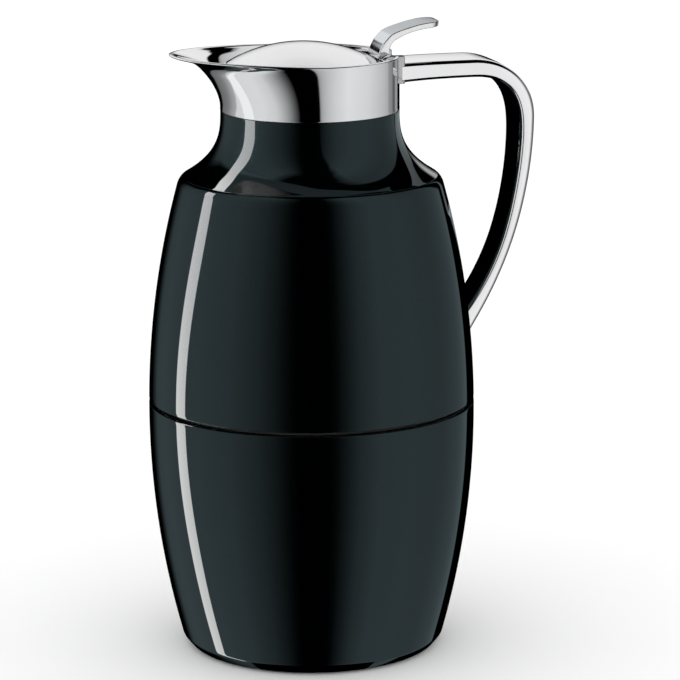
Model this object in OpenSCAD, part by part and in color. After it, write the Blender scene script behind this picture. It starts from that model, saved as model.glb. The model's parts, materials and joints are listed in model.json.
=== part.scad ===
// Insulated pouring jug: two-part barrel body, polished collar with a broad
// lip, domed lid on a hinge with a thumb lever, strap handle and glass flask.
// Lengths in millimetres, +Z up, origin where the jug's axis meets the table.
// The lip points to -X and the handle to +X.

/* [Body] */
// Radius of the body at its widest
body_r = 71.1; // [60:0.1:85]
// Radius of the barrel curve at the table
base_r = 56.2; // [48:0.1:64]
// Height of the widest part
belly_z = 105; // [90:1:120]
// Height of the joint between lower and upper shell
seam_z = 110.2; // [95:0.1:120]
// Width of the dark groove at that joint
seam_gap = 1.8; // [1:0.1:3]
// Height of the shoulder edge
shoulder_z = 207.6; // [190:0.1:230]
// Height of the neck from the shoulder edge to the collar
neck_h = 29.5; // [22:0.1:36]
// Outer radius of the neck and the collar
neck_r = 38.6; // [34:0.1:44]
// How sharply the neck flares into the shoulder
flare_power = 2.9; // [2:0.1:3.5]
// Wall of the two shells
wall = 2.2; // [1.5:0.1:3]
// Bevel at the bottom edge
base_bevel = 3; // [1:0.5:5]

/* [Base] */
// Thickness of the pad the jug stands on
pad_t = 1.3; // [1:0.1:3]
// Thickness of the base plate
plate_t = 2.7; // [2:0.1:4]
// Width of the lip around the base plate
lip_w = 3.2; // [2:0.1:5]
// Shank radius of the small screws
screw_r = 1.5; // [1:0.1:2]
// Head radius of the small screws
head_r = 2.6; // [2:0.1:3.2]
// Head height of the small screws
head_h = 1.6; // [1:0.1:2.4]

/* [Threaded rings] */
// Radius of the sleeve that carries the thread
sleeve_r = 64; // [60:0.1:66]
// Wall of that sleeve
sleeve_t = 2.4; // [1.8:0.1:4]
// How far the sleeve reaches below the joint
sleeve_drop = 13; // [8:0.5:20]
// Height of each glued ring
ring_h = 11; // [8:0.5:16]
// Free play between the two thread sleeves
thread_gap = 0.3; // [0.2:0.05:0.6]

/* [Flask] */
// Inner radius of the flask
flask_in_r = 45.2; // [36:0.1:47]
// Glass thickness
glass_t = 1.5; // [1.3:0.1:2.2]
// Width of the evacuated space
vacuum_w = 4.5; // [3:0.1:6]
// Inner radius of the flask's mouth
mouth_r = 19.3; // [15:0.1:22]
// Width of the evacuated space in the neck
neck_vac = 1.3; // [1:0.1:2]
// Height of the flask's lowest point above the base plate
flask_lift = 12.5; // [8:0.5:18]
// Radius of the rubber cushion
cushion_r = 34; // [26:1:40]
// Height of the rubber cushion
cushion_h = 22; // [16:1:26]

/* [Collar] */
// Height of the collar from its seam to its rim at the back
collar_h = 23.3; // [18:0.1:28]
// Distance of the lip's tip from the axis
lip_x = 61.3; // [52:0.1:68]
// How far the tip stands above the rim at the back
lip_rise = 2.2; // [0:0.1:5]
// Wall of the collar
collar_t = 2.2; // [1.6:0.1:3]
// Thickness of the collar's inner flange
flange_t = 2.4; // [2:0.1:4]
// Width of the band that clamps the shell's neck
lock_t = 3.4; // [2.5:0.1:5]

/* [Lid] */
// Radius of the domed lid
lid_r = 33.2; // [30:0.1:34]
// Distance of the lid's centre from the jug's axis, towards the lip
lid_off = 3; // [1:0.1:4]
// Height of the dome above its edge
dome_h = 8.9; // [5:0.1:14]
// Height of the dome's edge below the collar's rim
lid_sink = 3; // [2:0.1:5]
// Thickness of the dome
cap_t = 1.4; // [1:0.1:2]
// Radius of the plug under the lid
plug_r = 26; // [23:0.1:27]

/* [Hinge and lever] */
// Distance of the hinge pin from the axis
pin_x = 32.6; // [32:0.1:34]
// Radius of the hinge pin
pin_r = 1.5; // [1.2:0.1:1.8]
// Outer radius of the hinge knuckles
knuckle_r = 3; // [2.6:0.1:3.2]
// Width of the thumb lever
lever_w = 17.6; // [14:0.1:20]
// Distance of the lever's tip from the axis
lever_x = 56.1; // [48:0.1:62]
// Thickness of the lever's thumb plate
lever_t = 2.4; // [2:0.1:3.5]

/* [Handle] */
// Width of the handle strap
strap_w = 26; // [18:0.5:30]
// Distance of the handle's outermost point from the axis
reach = 97.7; // [88:0.1:110]
// Thickness of the handle's arm
arm_t = 8.2; // [7:0.1:10]
// Thickness of the strap at the grip
grip_t = 6.2; // [5:0.1:9]
// Thickness of the strap at its lower end
foot_t = 3.6; // [3:0.1:6]
// Height where the strap meets the body
foot_z = 137.2; // [125:0.1:150]
// Radius of the stud that holds the lower end
stud_r = 2.5; // [2:0.1:3]

/* [Hidden] */
$fn = 96;
clr = 0.05;   // clearance of pieces that are fixed together
run = 0.3;    // clearance of pieces that move past each other

c_n = 48;    // sides of the collar's outline
bulge = body_r - base_r;
barrel_c = (belly_z * belly_z + bulge * bulge) / (2 * bulge);
neck_z = shoulder_z + neck_h;
rim_z = neck_z + collar_h;
low_top = seam_z - seam_gap / 2;
up_bot = seam_z + seam_gap / 2;
plate_top = pad_t + plate_t;
shell_bot = pad_t / 2;
flange_z = plate_top + 0.1;
plate_r = barrel_at(0) - lip_w;
flange_in = plate_r - 7;
base_screw_r = plate_r - 3.4;
neck_flange_t = 2.2;
neck_in = neck_r - wall;
sh_drop = 1.2;
mouth_z = neck_z - 1;
mouth_t = 2.2;
neck_out = mouth_r + 2 * glass_t + neck_vac;
gask_in = neck_out + run;
gask_out = gask_in + 5.3;
gask_t = 1.4;
ring_in = gask_out - 1;
collar_z = neck_z + 0.1;
seat_z = collar_z + flange_t + 0.8;
pour_out = (neck_r - collar_t) * cos(180 / c_n) - 0.1;
flask_out_r = flask_in_r + 2 * glass_t + vacuum_w;
out_bot = plate_top + flask_lift;
in_bot = out_bot + glass_t + vacuum_w + 0.4;
ball_top = mouth_z - 70;
tip_r = 3;
lock_r = ring_in + (neck_in - ring_in) / 2;
edge_z = rim_z - lid_sink;
dome_c = (lid_r * lid_r + dome_h * dome_h) / (2 * dome_h);
dome_z = edge_z + dome_h - dome_c;
pin_z = rim_z - 3;
ton_z = pin_z - 2.45;
ton_t = 1.8;
ton_w = 14;
lug_y = lever_w / 2 + 0.25;
block_w = 26;
block_x = neck_r + 0.4;
block_z = rim_z - 12.2;
bolt_y = 9.5;
bolt_z = rim_z - 8.5;
bolt_r = 1.6;
arm_z = rim_z - 2.8;
stud_z = foot_z + 7.3;
stem_r = mouth_r + 1.6;
stem_z = seat_z + 0.35;
plug_z = stem_z + 1.8;
lid_flange_z = edge_z - 6.5;
lid_bolts = [plug_r - 12, plug_r - 5];
ton_x = plug_r - 16.5;

function barrel_at(z) = body_r - barrel_c
    + sqrt(barrel_c * barrel_c - (z - belly_z) * (z - belly_z));
sh_r = barrel_at(shoulder_z);
function neck_at(t) = neck_r + (sh_r - neck_r) * pow(t, flare_power);
function mix(a, b, t) = a + (b - a) * t;
function bez(a, b, c, d, t) = a * pow(1 - t, 3) + 3 * b * t * pow(1 - t, 2)
    + 3 * c * t * t * (1 - t) + d * pow(t, 3);

// Everything inside the barrel curve, its wall left off by "off".
module barrel_2d(off, z0, z1) {
    intersection() {
        translate([body_r - barrel_c, belly_z])
            circle(r = barrel_c - off, $fn = 720);
        translate([0, z0])
            square([body_r + 5, z1 - z0]);
    }
}

// Everything inside the neck curve, moved in by "off" and down by "drop".
module neck_2d(off, drop, z1) {
    polygon(concat([[0, shoulder_z - drop - 2], [sh_r - off, shoulder_z - drop - 2]],
        [for (i = [0 : 14]) [neck_at(1 - i / 14) - off,
            shoulder_z - drop + neck_h * i / 14]],
        [[neck_r - off, z1], [0, z1]]));
}

module at_three(r, z) {
    for (a = [60, 180, 300])
        rotate([0, 0, a])
            translate([r, 0, z])
                children();
}

module ring_2d(r0, r1, z0, z1) {
    translate([r0, z0])
        square([r1 - r0, z1 - z0]);
}

// The lower cup of the body.
module lower_shell() {
    color([0.03, 0.04, 0.045])
    difference() {
        rotate_extrude()
            difference() {
                barrel_2d(0, shell_bot, low_top);
                barrel_2d(wall, flange_z + 2.4, low_top + 1);
                ring_2d(-1, flange_in, -1, low_top);
                ring_2d(-1, plate_r + 0.1, -1, flange_z);
                polygon([[base_r - base_bevel, shell_bot - 0.01],
                    [base_r + 6, shell_bot - 0.01],
                    [base_r + 6, shell_bot + base_bevel * 2.2],
                    [barrel_at(base_bevel) + 0.05, shell_bot + base_bevel]]);
            }
        at_three(base_screw_r, 0)
            cylinder(r = screw_r + clr, h = 20);
    }
}

// The plate that closes the cup from below.
module base_plate() {
    color([0.06, 0.06, 0.065])
    difference() {
        translate([0, 0, pad_t])
            cylinder(r = plate_r, h = plate_t);
        at_three(base_screw_r, 0)
            cylinder(r = screw_r + clr, h = 20);
        at_three(base_screw_r, -1)
            cylinder(r = head_r + 0.2, h = pad_t + head_h + 1.1);
    }
}

module base_screws() {
    color([0.6, 0.6, 0.62])
    at_three(base_screw_r, pad_t + clr) {
        cylinder(r = head_r, h = head_h);
        cylinder(r = screw_r, h = plate_t + 2.4);
    }
}

// The disc the jug stands on.
module foot_pad() {
    color([0.05, 0.05, 0.05])
    cylinder(r = plate_r - 0.6, h = pad_t);
}

module lower_thread_ring() {
    color([0.1, 0.1, 0.11])
    rotate_extrude()
        difference() {
            barrel_2d(wall, low_top - ring_h, low_top - 0.7);
            ring_2d(-1, sleeve_r + thread_gap, 0, seam_z);
        }
}

module upper_thread_ring() {
    color([0.1, 0.1, 0.11])
    rotate_extrude() {
        ring_2d(sleeve_r - sleeve_t, sleeve_r, seam_z - sleeve_drop, up_bot + ring_h);
        difference() {
            barrel_2d(wall, up_bot + 0.5, up_bot + ring_h);
            ring_2d(-1, sleeve_r - 1, 0, seam_z + 50);
        }
    }
}

// The dark band at the bottom of the groove.
module seam_band() {
    color([0.02, 0.02, 0.02])
    rotate_extrude()
        ring_2d(sleeve_r + clr, body_r - wall - 1.3, low_top + 0.1, up_bot + 0.45);
}

// The upper half of the barrel with shoulder and neck.
module upper_shell() {
    color([0.03, 0.04, 0.045])
    difference() {
        rotate_extrude()
            difference() {
                union() {
                    barrel_2d(0, up_bot, shoulder_z);
                    neck_2d(0, 0, neck_z);
                }
                barrel_2d(wall, 0, shoulder_z - sh_drop);
                neck_2d(wall, sh_drop, neck_z - neck_flange_t);
                ring_2d(-1, gask_out, 0, neck_z + 1);
            }
        at_three(lock_r, neck_z - 20)
            cylinder(r = screw_r + 0.1, h = 30);
        translate([body_r - 20, 0, stud_z])
            rotate([0, 90, 0])
                cylinder(r = stud_r + 0.3, h = 40);
    }
}

// Plan outline of the collar at one level: a circle at the back, and at the
// front an oval with half-length a whose extra length gathers towards the lip;
// the larger n is, the fuller the oval and the closer to the lip that length.
function ring_pt(t, a, b, n, z, rise) = cos(t) >= 0 ?
    [b * cos(t), b * sin(t), z] :
    let (q = pow(-cos(t), 2 / n))
    [-b * q - (a - b) * pow(q, 1.6 + 2 * (n - 2)),
        sign(sin(t)) * b * pow(abs(sin(t)), 2 / n), z + rise * pow(-cos(t), 1.25)];

// Levels of the collar: part of the height, part of the lip's length, fullness.
c_out = [[0, 0, 2], [0.13, 0.006, 2], [0.31, 0.055, 2], [0.48, 0.14, 2],
    [0.6, 0.222, 2], [0.71, 0.318, 2], [0.8, 0.412, 2],
    [0.865, 0.505, 2.02], [0.92, 0.65, 2.08], [0.948, 0.82, 2.14],
    [0.965, 0.94, 2.18], [0.985, 0.99, 2.2], [1.0, 0.985, 2.2]];
c_in = [[0.995, 0.94, 2.2], [0.968, 0.84, 2.17], [0.935, 0.69, 2.1],
    [0.885, 0.53, 2.03], [0.8, 0.39, 2], [0.68, 0.26, 2],
    [0.5, 0.12, 2], [0.3, 0.02, 2], [0, 0, 2]];
c_loops = concat(
    [for (c = c_out) [collar_z + (rim_z - collar_z) * c[0],
        neck_r + (lip_x - neck_r) * c[1], neck_r, c[2], lip_rise * c[0] * c[1]]],
    [for (c = c_in) [collar_z + (rim_z - collar_z) * c[0],
        neck_r - collar_t + (lip_x - neck_r) * c[1], neck_r - collar_t, c[2],
        lip_rise * c[0] * c[1]]]);

module collar_ring() {
    m = len(c_loops);
    pts = [for (c = c_loops) for (i = [0 : c_n - 1])
        ring_pt(i * 360 / c_n, c[1], c[2], c[3], c[0], c[4])];
    polyhedron(points = pts, faces = [for (k = [0 : m - 1]) for (i = [0 : c_n - 1])
        for (s = [0, 1]) let (j = (i + 1) % c_n, q = (k + 1) % m)
            s == 0 ? [k * c_n + i, q * c_n + i, q * c_n + j]
                : [k * c_n + i, q * c_n + j, k * c_n + j]]);
}

// The polished collar with the pouring lip.
module collar() {
    color([0.85, 0.86, 0.88])
    difference() {
        collar_ring();
        translate([pin_x - 5, -block_w / 2 - clr, block_z - clr])
            cube([20, block_w + 2 * clr, 40]);
    }
}

// The ring bonded into the collar's lower end, which takes the screws.
module collar_insert() {
    color([0.1, 0.1, 0.11])
    difference() {
        translate([0, 0, collar_z])
            cylinder(r = pour_out, h = flange_t);
        cylinder(r = ring_in, h = 400);
        at_three(lock_r, collar_z - 5)
            cylinder(r = screw_r + clr, h = 20);
    }
}

// The block at the back of the collar with the hinge lugs and the handle's seat.
module hinge_block() {
    color([0.83, 0.84, 0.86])
    difference() {
        union() {
            translate([neck_r - 5.1, -block_w / 2, block_z])
                cube([block_x - neck_r + 5.1, block_w, rim_z - 0.1 - block_z]);
            translate([pin_x, block_w / 2, pin_z])
                rotate([90, 0, 0])
                    cylinder(r = knuckle_r, h = block_w);
            translate([pin_x, -block_w / 2, pin_z - knuckle_r])
                cube([neck_r - 4 - pin_x, block_w, 2 * knuckle_r - 0.1]);
        }
        translate([0, -lug_y, pin_z - knuckle_r - 0.5])
            cube([neck_r - 1.3, 2 * lug_y, 30]);
        translate([0, -lug_y, pin_z + 0.6])
            cube([neck_r + 20, 2 * lug_y, 30]);
        translate([pin_x, 50, pin_z])
            rotate([90, 0, 0])
                cylinder(r = pin_r + 0.02, h = 100);
        for (s = [-1, 1])
            translate([0, s * bolt_y, bolt_z])
                rotate([0, 90, 0])
                    cylinder(r = bolt_r + 0.1, h = 60);
    }
}

module collar_lock_ring() {
    color([0.55, 0.55, 0.57])
    difference() {
        translate([0, 0, neck_z - neck_flange_t - clr - lock_t])
            cylinder(r = neck_in - 0.35, h = lock_t);
        cylinder(r = gask_out + 0.1, h = 400);
        at_three(lock_r, neck_z - 30)
            cylinder(r = screw_r + 0.1, h = 60);
    }
}

module collar_screws() {
    color([0.6, 0.6, 0.62])
    at_three(lock_r, neck_z - neck_flange_t - 2 * clr - lock_t - head_h) {
        cylinder(r = head_r, h = head_h);
        cylinder(r = screw_r, h = head_h + lock_t + neck_flange_t + flange_t - 0.1);
    }
}

// The rubber ring that seals the flask's mouth to the collar.
module neck_gasket() {
    color([0.12, 0.12, 0.12])
    rotate_extrude() {
        ring_2d(gask_in, gask_out - clr, mouth_z - 4, mouth_z + 0.15);
        ring_2d(mouth_r + 0.2, gask_out - clr, mouth_z + 0.15, collar_z);
        ring_2d(mouth_r + 0.2, ring_in - clr, collar_z - 0.5, mouth_z + 0.15 + gask_t);
    }
}

// The funnel floor between the flask's mouth and the collar.
module pour_ring() {
    z0 = mouth_z + 0.15 + gask_t + clr;
    z1 = collar_z + flange_t + clr;
    color([0.8, 0.81, 0.83])
    rotate_extrude()
        polygon([[mouth_r, z0], [ring_in - clr, z0], [ring_in - clr, z1],
            [pour_out, z1], [pour_out, seat_z + 2.4], [plug_r + 0.6, seat_z],
            [mouth_r + 1, seat_z], [mouth_r, seat_z - 0.8]]);
}

// A bottle outline: a tube with a ball at each end and a neck on top.
module bottle_2d(r, z_bot, neck, z_top) {
    intersection() {
        union() {
            translate([0, ball_top])
                circle(r = r, $fn = 180);
            translate([0, z_bot + r])
                circle(r = r, $fn = 180);
            ring_2d(-r, r, z_bot + r, ball_top);
            ring_2d(-neck, neck, ball_top, z_top);
        }
        ring_2d(0, r + 1, 0, z_top);
    }
}

module inner_bottle() {
    color([0.75, 0.85, 0.88, 0.4])
    rotate_extrude()
        difference() {
            union() {
                bottle_2d(flask_in_r + glass_t, in_bot, mouth_r + glass_t, mouth_z);
                ring_2d(0, neck_out, mouth_z - mouth_t, mouth_z);
            }
            bottle_2d(flask_in_r, in_bot + glass_t, mouth_r, mouth_z + 1);
        }
}

module outer_bottle() {
    color([0.75, 0.85, 0.88, 0.4])
    rotate_extrude() {
        difference() {
            bottle_2d(flask_out_r, out_bot, neck_out, mouth_z - mouth_t);
            bottle_2d(flask_out_r - glass_t, out_bot + glass_t,
                neck_out - glass_t, mouth_z);
        }
        ring_2d(0, tip_r, out_bot - 6, out_bot + glass_t / 2);
    }
}

module flask_spacers() {
    color([0.7, 0.7, 0.66])
    for (a = [0, 120, 240])
        rotate([0, 0, a])
            rotate_extrude(angle = 12)
                ring_2d(flask_in_r + glass_t, flask_out_r - glass_t,
                    belly_z - 5, belly_z + 5);
}

// The rubber cup under the flask.
module flask_cushion() {
    color([0.1, 0.1, 0.1])
    difference() {
        translate([0, 0, plate_top + 0.15])
            cylinder(r = cushion_r, h = cushion_h);
        translate([0, 0, out_bot + flask_out_r])
            sphere(r = flask_out_r);
        cylinder(r = tip_r + 3, h = 100);
    }
}

// The handle's outer and inner curves as joined cubic curves.
h_a = [block_x + clr, arm_z - 0.5];
h_b = [70, arm_z];
h_c = [reach, arm_z - 26.5];
h_d = [sh_foot_x(foot_z) - 0.8, foot_z];
function sh_foot_x(z) = barrel_at(z) + 0.2;
h_dir = [0.546, 0.838];
k_a = [block_x + clr, arm_z - 0.5 - arm_t - 0.5];
k_b = [71, arm_z - arm_t + 0.2];
k_c = [reach - grip_t, arm_z - 34];
k_d = h_d + [-foot_t * 0.5, foot_t * 1.5];
function curve(a, b, c, d, n) = [for (i = [0 : n]) [bez(a[0], b[0], c[0], d[0], i / n),
    bez(a[1], b[1], c[1], d[1], i / n)]];
h_out = concat(curve(h_a, h_a + [10, 0.5], h_b - [10, 0], h_b, 6),
    curve(h_b, h_b + [(h_c[0] - h_b[0]) * 0.58, 0], h_c + [0, 15.4], h_c, 14),
    curve(h_c, h_c - [0, 32], h_d + h_dir * 37, h_d, 16));
h_in = concat(curve(k_a, k_a + [10, 1], k_b - [10, 0], k_b, 6),
    curve(k_b, k_b + [(k_c[0] - k_b[0]) * 0.68, 0], k_c + [0, 17.5], k_c, 14),
    curve(k_c, k_c - [0, 27], k_d + h_dir * 32, k_d, 16));

module strap_2d() {
    polygon(concat(h_out, [for (i = [len(h_in) - 1 : -1 : 0]) h_in[i]]));
    polygon([[barrel_at(foot_z) - 5, foot_z], [h_d[0] + 0.4, foot_z + 0.8],
        [h_d[0] + 4.2, foot_z + 9], [barrel_at(foot_z) - 0.2, foot_z + 11.5],
        [barrel_at(foot_z) - 5, foot_z + 11.5]]);
}

module barrel_solid(off, z0, z1) {
    rotate_extrude()
        barrel_2d(off, z0, z1);
}

// The cast strap handle with the stud at its lower end.
module handle() {
    color([0.85, 0.86, 0.88])
    difference() {
        union() {
            difference() {
                translate([0, strap_w / 2, 0])
                    rotate([90, 0, 0])
                        linear_extrude(height = strap_w)
                            strap_2d();
                barrel_solid(-clr, foot_z - 20, foot_z + 40);
            }
            translate([body_r - 14.5, 0, stud_z])
                rotate([0, 90, 0])
                    cylinder(r = stud_r, h = 15);
        }
        for (s = [-1, 1])
            translate([block_x - 1, s * bolt_y, bolt_z])
                rotate([0, 90, 0])
                    cylinder(r = bolt_r + clr, h = 15);
    }
}

module handle_top_screws() {
    color([0.6, 0.6, 0.62])
    for (s = [-1, 1])
        translate([neck_r - 5.15, s * bolt_y, bolt_z])
            rotate([0, 90, 0]) {
                translate([0, 0, -1.8])
                    cylinder(r = 2.5, h = 1.8);
                cylinder(r = bolt_r, h = block_x - neck_r + 5 + 13);
            }
}

// The block that spreads the stud's load on the inside of the shell.
module foot_saddle() {
    color([0.12, 0.12, 0.13])
    difference() {
        intersection() {
            translate([body_r - 11, -7, stud_z - 6.5])
                cube([20, 14, 13]);
            barrel_solid(wall + clr, stud_z - 20, stud_z + 20);
        }
        translate([0, 0, stud_z])
            rotate([0, 90, 0])
                cylinder(r = stud_r + 0.2, h = 100);
    }
}

module foot_nut() {
    color([0.6, 0.6, 0.62])
    translate([body_r - 14, 0, stud_z])
        rotate([0, 90, 0])
            difference() {
                cylinder(r = stud_r * 1.84, h = 2.95, $fn = 6);
                translate([0, 0, -1])
                    cylinder(r = stud_r + clr, h = 10);
            }
}

// The polished dome.
module lid_cap() {
    color([0.85, 0.86, 0.88])
    difference() {
        translate([-lid_off, 0, 0])
            rotate_extrude()
                difference() {
                    intersection() {
                        translate([0, dome_z])
                            circle(r = dome_c, $fn = 360);
                        ring_2d(0, lid_r, edge_z - 1.7, rim_z + 30);
                    }
                    intersection() {
                        translate([0, dome_z])
                            circle(r = dome_c - cap_t, $fn = 360);
                        ring_2d(-1, lid_r - cap_t, edge_z - 5, rim_z + 30);
                    }
                }
        translate([pin_x - 4.9, -lever_w / 2 - 0.15, edge_z - 5])
            cube([20, lever_w + 0.3, 20]);
    }
}

// The plastic body under the dome, with the plug and two screw posts.
module lid_inner() {
    color([0.08, 0.08, 0.085])
    difference() {
        union() {
            translate([-lid_off, 0, lid_flange_z])
                cylinder(r = lid_r - cap_t - clr, h = edge_z - 1.2 - lid_flange_z);
            translate([0, 0, plug_z])
                cylinder(r = plug_r, h = lid_flange_z - plug_z + 1);
            translate([0, 0, stem_z + 0.2])
                cylinder(r = stem_r, h = 3);
        }
        difference() {
            translate([0, 0, plug_z + 1])
                cylinder(r = plug_r - 2.5, h = 60);
            for (x = lid_bolts)
                translate([x, 0, 0])
                    cylinder(r = 3.3, h = ton_z - clr);
        }
        translate([ton_x - 1, -ton_w / 2 - 0.2, ton_z - clr])
            cube([60, ton_w + 0.4, 30]);
        for (x = lid_bolts)
            translate([x, 0, plug_z + 2.5])
                cylinder(r = screw_r + clr, h = 60);
    }
}

module lid_foam() {
    color([0.9, 0.88, 0.8])
    difference() {
        translate([0, 0, plug_z + 1.05])
            cylinder(r = plug_r - 2.6, h = ton_z - plug_z - 1.6);
        for (x = lid_bolts)
            translate([x, 0, 0])
                cylinder(r = 3.4, h = 400);
    }
}

module lid_seal() {
    color([0.75, 0.75, 0.72])
    rotate_extrude()
        ring_2d(stem_r, plug_r - 0.4, seat_z + 0.15, plug_z);
}

// The lever's side outline, from the thumb end forward and back again.
lv_top = [[lever_x, 13.6], [lever_x - 4.2, 13.4], [46.6, 12.6], [42.2, 11.5],
    [37.8, 10.1], [34.2, 8.5], [32.4, 7], [31.1, 5.8], [29.8, 3.7],
    [28.4, 0.5], [28.1, -1.2], [28.1, -3]];
lv_low = [[pin_x + knuckle_r, -3], [pin_x + knuckle_r - 0.4, -1.4],
    [33.5, 0.4], [33.3, 1.8], [33.8, 3.8], [35.1, 5.6], [37.8, 10.1 - lever_t - 0.5],
    [42.2, 11.5 - lever_t - 0.2], [46.6, 12.6 - lever_t], [lever_x - 4.2, 13.4 - lever_t],
    [lever_x - 0.2, 13.6 - lever_t]];

module lever_body() {
    intersection() {
        translate([0, lever_w / 2, rim_z])
            rotate([90, 0, 0])
                linear_extrude(height = lever_w)
                    polygon(concat(lv_top, lv_low));
        translate([0, 0, rim_z - 10])
            linear_extrude(height = 40) {
                translate([20, -lever_w / 2])
                    square([lever_x - 25, lever_w]);
                translate([20, -lever_w / 2 + 5])
                    square([lever_x - 20, lever_w - 10]);
                for (s = [-1, 1])
                    translate([lever_x - 5, s * (lever_w / 2 - 5)])
                        circle(r = 5);
            }
    }
}

// The thumb lever with its hinge knuckle and the tongue under the dome.
module thumb_lever() {
    color([0.7, 0.71, 0.72])
    difference() {
        union() {
            lever_body();
            translate([pin_x, lever_w / 2, pin_z])
                rotate([90, 0, 0])
                    cylinder(r = knuckle_r, h = lever_w);
            translate([ton_x, -ton_w / 2, ton_z])
                cube([pin_x - ton_x, ton_w, ton_t]);
        }
        translate([pin_x, 50, pin_z])
            rotate([90, 0, 0])
                cylinder(r = pin_r + 0.06, h = 100);
        translate([pin_x, 3.2, pin_z])
            rotate([90, 0, 0])
                cylinder(r = knuckle_r + 0.4, h = 6.4);
        translate([pin_x - 6.2, -3.2, pin_z - 4])
            cube([12, 6.4, 2.6]);
        for (x = lid_bolts)
            translate([x, 0, 200])
                cylinder(r = screw_r + 0.1, h = 100);
    }
}

module lid_screws() {
    color([0.6, 0.6, 0.62])
    for (x = lid_bolts)
        translate([x, 0, 0]) {
            translate([0, 0, ton_z + ton_t + clr])
                cylinder(r = head_r, h = head_h);
            translate([0, 0, plug_z + 2.7])
                cylinder(r = screw_r, h = ton_z + ton_t + 0.5 - plug_z - 2.7);
        }
}

module lid_pin() {
    color([0.75, 0.75, 0.77])
    translate([pin_x, block_w / 2 - 0.1, pin_z])
        rotate([90, 0, 0])
            cylinder(r = pin_r, h = block_w - 0.2);
}

// The spring that closes the lid: six turns round the pin and two legs.
module lid_spring() {
    color([0.65, 0.65, 0.67])
    translate([pin_x, 0, pin_z]) {
        rotate([90, 0, 0])
            rotate_extrude()
                for (i = [-2.5 : 1 : 2.5])
                    translate([pin_r + 0.8, i * 0.9])
                        circle(r = 0.5);
        translate([-3.4, -2.2, -pin_r - 0.8])
            rotate([0, 90, 0])
                cylinder(r = 0.4, h = 3.4);
        translate([0, 2.2, -pin_r - 0.8])
            rotate([0, 90, 0])
                cylinder(r = 0.4, h = neck_r - 1.4 - pin_x);
    }
}

lower_shell();
base_plate();
base_screws();
foot_pad();
lower_thread_ring();
upper_thread_ring();
seam_band();
upper_shell();
collar();
collar_insert();
hinge_block();
collar_lock_ring();
collar_screws();
neck_gasket();
pour_ring();
inner_bottle();
outer_bottle();
flask_spacers();
flask_cushion();
handle();
handle_top_screws();
foot_saddle();
foot_nut();
lid_cap();
lid_inner();
lid_foam();
lid_seal();
thumb_lever();
lid_screws();
lid_pin();
lid_spring();
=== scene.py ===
import json

import bmesh
import bpy
import numpy as np
from mathutils import Matrix, Vector

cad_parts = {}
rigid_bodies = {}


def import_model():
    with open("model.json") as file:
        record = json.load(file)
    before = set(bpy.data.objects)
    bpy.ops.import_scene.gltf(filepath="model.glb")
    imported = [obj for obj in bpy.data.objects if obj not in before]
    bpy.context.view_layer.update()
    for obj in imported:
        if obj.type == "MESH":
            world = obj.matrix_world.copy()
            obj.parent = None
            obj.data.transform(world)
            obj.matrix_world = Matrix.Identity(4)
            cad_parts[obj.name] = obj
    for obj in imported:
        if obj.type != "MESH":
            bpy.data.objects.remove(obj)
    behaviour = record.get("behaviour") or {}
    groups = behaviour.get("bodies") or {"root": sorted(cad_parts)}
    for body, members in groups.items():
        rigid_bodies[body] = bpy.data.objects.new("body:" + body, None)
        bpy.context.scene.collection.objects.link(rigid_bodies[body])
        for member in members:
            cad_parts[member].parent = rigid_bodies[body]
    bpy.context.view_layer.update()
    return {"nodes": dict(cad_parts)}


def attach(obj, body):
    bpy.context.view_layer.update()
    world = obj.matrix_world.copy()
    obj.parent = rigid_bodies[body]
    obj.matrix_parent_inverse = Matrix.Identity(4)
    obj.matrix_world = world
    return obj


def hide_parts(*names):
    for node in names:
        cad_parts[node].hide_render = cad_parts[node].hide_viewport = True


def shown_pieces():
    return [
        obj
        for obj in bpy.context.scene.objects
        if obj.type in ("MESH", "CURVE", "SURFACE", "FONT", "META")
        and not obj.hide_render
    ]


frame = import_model()

MM = 0.001

# ---------------------------------------------------------------- sizes, in millimetres
BODY_R, BASE_R, BELLY_Z = 71.1, 56.2, 105.0
LOW_TOP, UP_BOT, SHOULDER_Z, NECK_H, NECK_R = 109.3, 111.1, 207.6, 29.5, 38.6
WALL = 2.2
BULGE = BODY_R - BASE_R
BARREL_C = (BELLY_Z ** 2 + BULGE ** 2) / (2 * BULGE)
NECK_Z = SHOULDER_Z + NECK_H
COLLAR_Z, RIM_Z, COLLAR_T = NECK_Z + 0.1, NECK_Z + 23.3, 2.2
LIP_X, LIP_RISE = 61.3, 2.2
LID_R, LID_X, DOME_H = 33.2, -3.0, 8.9
EDGE_Z = RIM_Z - 3
PIN_X, PIN_Z = 32.6, RIM_Z - 3


def barrel(z):
    """Radius of the body: a circular arc that bulges to BODY_R at BELLY_Z."""
    return BODY_R - BARREL_C + np.sqrt(BARREL_C ** 2 - (z - BELLY_Z) ** 2)


SH_R = float(barrel(SHOULDER_Z))


def neck(t):
    """Radius of the neck, t = 0 at its top and 1 at the shoulder: it widens with the power 2.9 of t."""
    return NECK_R + (SH_R - NECK_R) * t ** 2.9


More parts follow.
